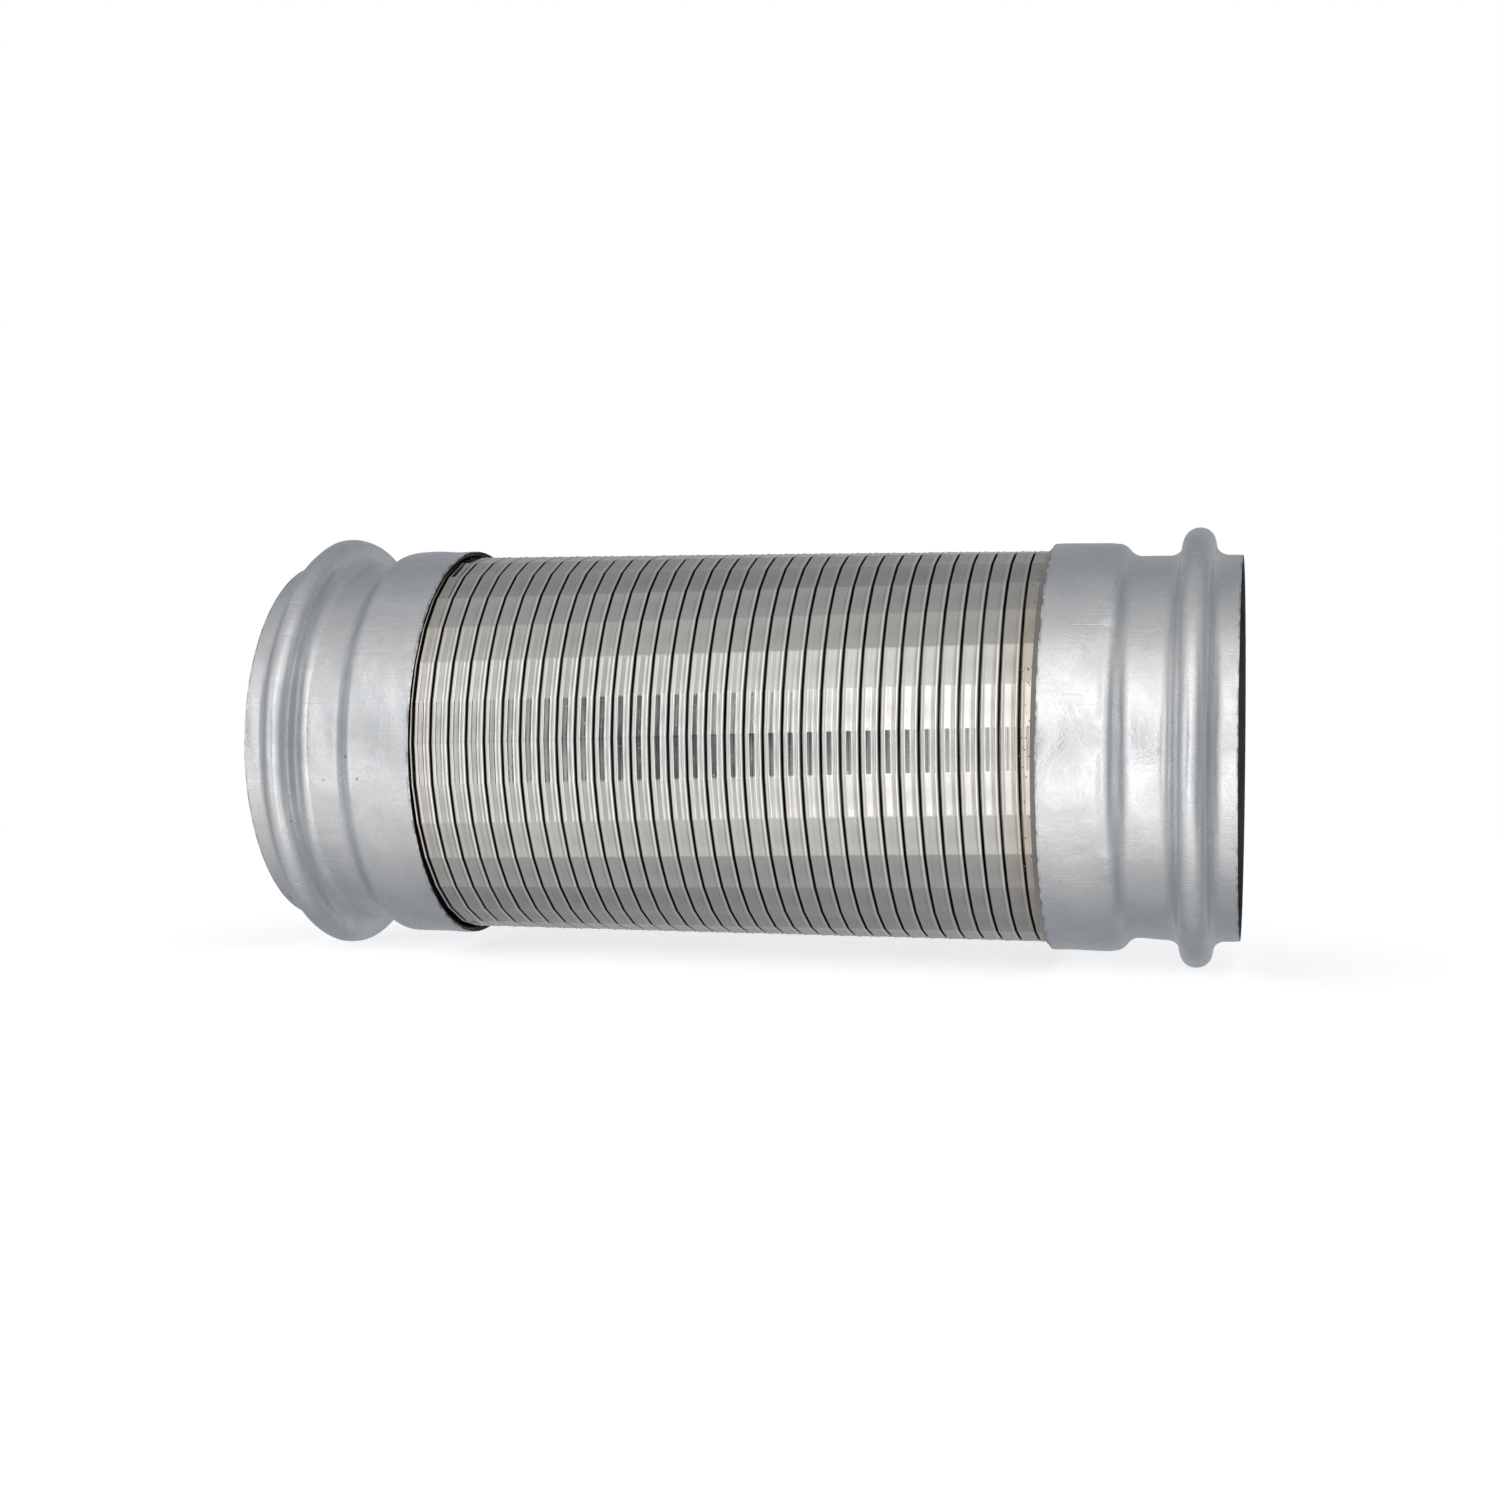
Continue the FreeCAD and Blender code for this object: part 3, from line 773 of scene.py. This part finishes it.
class CONNECTOR_OT_end_tubes(bpy.types.Operator):
    """Rolls the two end tubes with their sleeves, necks, beads and lips"""

    bl_idname = "connector.end_tubes"
    bl_label = "End tubes"

    def execute(self, context):
        sizes = context.scene.connector_tube
        for side, name in ((-1, "left"), (1, "right")):
            piece = end_tube(sizes, side)
            smooth(piece, TUBE_EDGE)
            piece.data.materials.append(aluminised_material())
            piece.data.materials.append(bore_shade_material())
            # inward faces inside the sleeve radius take the bore's painted shade
            for face in piece.data.polygons:
                centre = face.center
                looks_in = face.normal.y * centre.y + face.normal.z * centre.z < 0
                if looks_in and math.hypot(centre.y, centre.z) < sizes.sleeve_radius + 5 * MM:
                    face.material_index = 1
            finish_piece(piece, f"{name}_rolled_tube", f"{name}_end",
                         [f"{name}_end_tube"])
        return {"FINISHED"}


# ---- welds ------------------------------------------------------------------------------------

def weld_ring(outline, segments, lump, seed):
    """A ring drawn along a closed outline, with its outer side made lumpy."""
    nothing_selected()
    bpy.ops.mesh.primitive_circle_add(
        vertices=segments, radius=outline[0][1], location=(outline[0][0], 0, 0),
        rotation=(0, math.pi / 2, 0))
    piece = bpy.context.object
    bpy.ops.object.transform_apply(location=True, rotation=True, scale=True)
    bpy.ops.object.mode_set(mode="EDIT")
    bpy.ops.mesh.select_all(action="SELECT")
    for (x0, r0), (x1, r1) in zip(outline, outline[1:] + outline[:1]):
        bpy.ops.mesh.extrude_region_move(TRANSFORM_OT_translate={"value": (x1 - x0, 0, 0)})
        bpy.ops.transform.resize(value=(1, r1 / r0, r1 / r0), center_override=(x1, 0, 0))
    bpy.ops.mesh.select_all(action="SELECT")
    bpy.ops.mesh.remove_doubles(threshold=0.01 * MM)
    bpy.ops.mesh.normals_make_consistent(inside=False)
    bpy.ops.object.mode_set(mode="OBJECT")
    points = points_of(piece)
    pick = random.Random(seed)
    angle = np.arctan2(points[:, 2], -points[:, 1])
    radius = np.hypot(points[:, 1], points[:, 2])
    low = min(r for _, r in outline)
    high = max(r for _, r in outline)
    column = np.rint((angle + math.pi) / math.tau * segments).astype(int) % segments
    level = np.array([pick.uniform(-1, 1) for _ in range(segments)])
    level = 0.6 * level + 0.4 * np.roll(level, 1) + 0.5 * wander(
        np.linspace(-math.pi, math.pi, segments), np.zeros(segments), 6, seed)
    raised = np.clip((radius - low) / (high - low), 0, 1)
    grown = 1 + lump * raised * (level[column] - 0.4) / radius
    points[:, 1:] *= grown[:, None]
    set_points(piece, points)
    return piece


def add_spatter(ring, spots):
    """Small frozen drops of weld metal, joined to the ring."""
    nothing_selected()
    bpy.ops.mesh.primitive_ico_sphere_add(subdivisions=2, radius=1)
    first = bpy.context.object
    bpy.ops.object.mode_set(mode="EDIT")
    bpy.ops.mesh.select_all(action="SELECT")
    bpy.ops.transform.vertex_random(offset=0.12, seed=3)
    bpy.ops.object.mode_set(mode="OBJECT")
    drops = [first]
    for _ in spots[1:]:
        drop = first.copy()
        drop.data = first.data.copy()
        bpy.context.collection.objects.link(drop)
        drops.append(drop)
    for drop, (x, angle, size) in zip(drops, spots):
        radius = HOSE_RADIUS + 0.05 * MM
        drop.data.transform(
            Matrix.Translation((x, -radius * math.cos(angle), radius * math.sin(angle)))
            @ Matrix.Diagonal((size * 1.2, size, size, 1)))
    nothing_selected()
    for drop in drops:
        drop.select_set(True)
    ring.select_set(True)
    bpy.context.view_layer.objects.active = ring
    bpy.ops.object.join()


class CONNECTOR_OT_welds(bpy.types.Operator):
    """Lays the weld at each sleeve's mouth, with its spatter"""

    bl_idname = "connector.welds"
    bl_label = "Welds"

    def execute(self, context):
        sizes = context.scene.connector_tube
        bore = sizes.sleeve_radius - sizes.wall
        low, high = (corner.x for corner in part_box("right_weld_ring"))
        right = weld_ring(
            [(low, HOSE_RADIUS), (low + 0.35 * MM, HOSE_RADIUS + 0.45 * MM),
             (low + 0.9 * MM, HOSE_RADIUS + 0.95 * MM),
             (TUBE_MOUTH, sizes.sleeve_radius - 0.35 * MM),
             (TUBE_MOUTH + 0.02 * MM, bore), (high, bore), (high, HOSE_RADIUS)],
            RIGHT_WELD_SEGMENTS, 0.42 * MM, 11)
        pick = random.Random(5)
        spots = [(low - pick.uniform(0.0, 3.2) * MM, math.radians(pick.gauss(0, 40)),
                  pick.uniform(0.10, 0.26) * MM) for _ in range(DROPS)]
        add_spatter(right, spots)
        low, high = (corner.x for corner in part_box("left_weld_ring"))
        left = weld_ring(
            [(low, HOSE_RADIUS - 0.1 * MM), (low, bore), (high, bore),
             (high + 0.3 * MM, HOSE_RADIUS + 0.15 * MM), (high, HOSE_RADIUS - 0.1 * MM)],
            LEFT_WELD_SEGMENTS, 0.1 * MM, 12)
        for piece, name in ((right, "right"), (left, "left")):
            smooth(piece, WELD_EDGE)
            piece.data.materials.append(weld_material())
            finish_piece(piece, f"{name}_weld_bead", f"{name}_end",
                         [f"{name}_weld_ring"])
        return {"FINISHED"}


# ---- stage ------------------------------------------------------------------------------------

def studio_world():
    """White to the camera; to everything else a soft room with a dark gap round the camera."""
    world = bpy.data.worlds.new("studio_room")
    t = Tree(world)
    direction = t.node("ShaderNodeTexCoord").outputs["Generated"]
    x, y, z = t.split(direction)
    turned = t.math("ARCTAN2", z, t.math("MULTIPLY", y, -1.0))
    turned = t.math("ABSOLUTE", t.math("SUBTRACT", turned, math.radians(4)))
    turned = t.math("DIVIDE", turned, math.pi)

    def room(*levels):
        return t.ramp(turned, [(degrees / 180, level) for degrees, level in levels])

    # each band runs from start to end along the hose; its levels go round it, by degrees
    behind = ((66, 0.56), (84, 0.46), (118, 0.32), (138, 0.34), (160, 0.40), (180, 0.42))
    light = room((0, 0.36), (46, 0.40), *behind)
    for start, end, levels in (
            (-0.95, -0.62, ((0, 0.98), (24, 1.04), (38, 0.86), (48, 0.66))),
            (-0.343, -0.318, ((0, 0.05), (14, 0.06), (21, 0.16), (36, 0.40), (48, 0.62))),
            (-0.29, -0.25, ((0, 0.06), (9, 0.08), (17, 0.26), (34, 0.50), (42, 0.66))),
            (-0.24, -0.21, ((0, 0.07), (10, 0.09), (20, 0.80), (32, 0.88), (42, 0.75), (54, 0.62))),
            (-0.215, -0.175, ((0, 0.18), (6, 0.24), (12, 1.30), (18, 1.80), (32, 1.70), (44, 0.90),
                              (54, 0.66))),
            (-0.135, -0.105, ((0, 1.45), (22, 1.50), (36, 1.05), (54, 0.68))),
            (0.02, 0.18, ((0, 0.84), (30, 0.80), (56, 0.68))),
            (0.36, 0.75, ((0, 0.34), (46, 0.38)))):
        light = t.mix(t.span(x, start, end, 0.0, 1.0, True), light, room(*levels, *behind))
    cast = t.mix(t.span(light, 0.15, 0.5), (0.86, 0.97, 1.10), (1.0, 0.995, 0.98))
    light = t.mix(1.0, light, cast, "MULTIPLY")
    rays = t.node("ShaderNodeLightPath")
    room_shader = t.node("ShaderNodeBackground")
    t.plug(light, room_shader.inputs["Color"])
    white = t.node("ShaderNodeBackground")
    white.inputs["Color"].default_value = (1, 1, 1, 1)
    both = t.node("ShaderNodeMixShader")
    t.plug(rays.outputs["Is Camera Ray"], both.inputs[0])
    t.plug(room_shader.outputs[0], both.inputs[1])
    t.plug(white.outputs[0], both.inputs[2])
    t.plug(both.outputs[0], t.node("ShaderNodeOutputWorld").inputs["Surface"])
    bpy.context.scene.world = world


def floor_material():
    """White paper that fades into the white backdrop."""
    material = bpy.data.materials.new("white_paper_floor")
    t = Tree(material)
    x, y, _ = t.split(t.place())
    far = t.math("SQRT", t.math("ADD", t.math("MULTIPLY", x, x), t.math("MULTIPLY", y, y)))
    fade = t.span(far, 0.25, 0.75, 0.0, 1.0, True)
    paper = t.node("ShaderNodeBsdfPrincipled")
    paper.inputs["Base Color"].default_value = (0.86, 0.86, 0.86, 1)
    paper.inputs["Roughness"].default_value = 0.9
    paper.inputs["Emission Color"].default_value = (1, 1, 1, 1)
    paper.inputs["Emission Strength"].default_value = 0.62
    plain = t.node("ShaderNodeEmission")
    both = t.node("ShaderNodeMixShader")
    t.plug(fade, both.inputs[0])
    t.plug(paper.outputs[0], both.inputs[1])
    t.plug(plain.outputs[0], both.inputs[2])
    t.plug(both.outputs[0], t.node("ShaderNodeOutputMaterial").inputs["Surface"])
    return material


def soft_light(name, centre, size, watts):
    """An area lamp aimed at the middle, hidden from the camera."""
    data = bpy.data.lights.new(name, "AREA")
    data.shape = "RECTANGLE"
    data.size, data.size_y = size
    data.energy = watts
    lamp = bpy.data.objects.new(name, data)
    bpy.context.collection.objects.link(lamp)
    lamp.location = centre
    lamp.rotation_mode = "QUATERNION"
    lamp.rotation_quaternion = (-Vector(centre)).to_track_quat("-Z", "Y")
    lamp.visible_camera = False


class CONNECTOR_OT_stage(bpy.types.Operator):
    """Lays the white floor, hangs the lights and sets up the camera"""

    bl_idname = "connector.stage"
    bl_label = "Stage"

    def execute(self, context):
        nothing_selected()
        bpy.ops.mesh.primitive_circle_add(
            vertices=96, radius=FLOOR_RADIUS, fill_type="NGON",
            location=(0, 0, CAD_BOX[0].z - 0.1 * MM))
        floor = bpy.context.object
        floor.name = "floor"
        bpy.ops.object.transform_apply(location=True)
        floor.data.materials.append(floor_material())
        floor.visible_glossy = False
        floor.visible_shadow = False
        studio_world()
        for name, side in (("upper", 1), ("lower", -1)):
            soft_light(f"{name}_softbox", (0.10, -0.90, side * 0.95), LIGHT_SIZE, LIGHT_WATTS)

        data = bpy.data.cameras.new("camera")
        data.lens = LENS
        data.sensor_width = SENSOR
        data.clip_start = 0.01
        camera = bpy.data.objects.new("camera", data)
        context.collection.objects.link(camera)
        camera.location = CAMERA_PLACE
        camera.rotation_euler = (math.radians(90 - CAMERA_DIP), 0, math.radians(CAMERA_SWING))
        context.scene.camera = camera
        context.scene.view_settings.view_transform = "Standard"
        return {"FINISHED"}


class CONNECTOR_PT_panel(bpy.types.Panel):
    """Shows the sizes, colours and building steps in the 3D view's sidebar"""

    bl_label = "Exhaust connector"
    bl_idname = "CONNECTOR_PT_panel"
    bl_space_type = "VIEW_3D"
    bl_region_type = "UI"
    bl_category = "Exhaust connector"

    def draw(self, context):
        for group in GROUPS:
            box = self.layout.box()
            settings = getattr(context.scene, group)
            for name in settings.__annotations__:
                box.prop(settings, name)
        for operator in OPERATORS:
            self.layout.operator(operator.bl_idname)


GROUPS = {"connector_strip": StripSizes, "connector_tube": TubeSizes,
          "connector_finishes": Finishes}
OPERATORS = (CONNECTOR_OT_turns, CONNECTOR_OT_anchored_turns, CONNECTOR_OT_end_tubes,
             CONNECTOR_OT_welds, CONNECTOR_OT_stage)


def register():
    for group in (*GROUPS.values(), *OPERATORS, CONNECTOR_PT_panel):
        bpy.utils.register_class(group)
    for name, group in GROUPS.items():
        setattr(bpy.types.Scene, name, PointerProperty(type=group))


def unregister():
    for name in GROUPS:
        delattr(bpy.types.Scene, name)
    for group in reversed((*GROUPS.values(), *OPERATORS, CONNECTOR_PT_panel)):
        bpy.utils.unregister_class(group)


def main():
    register()
    bpy.ops.connector.turns()
    bpy.ops.connector.anchored_turns()
    bpy.ops.connector.end_tubes()
    bpy.ops.connector.welds()
    bpy.ops.connector.stage()


if __name__ == "__main__":
    main()
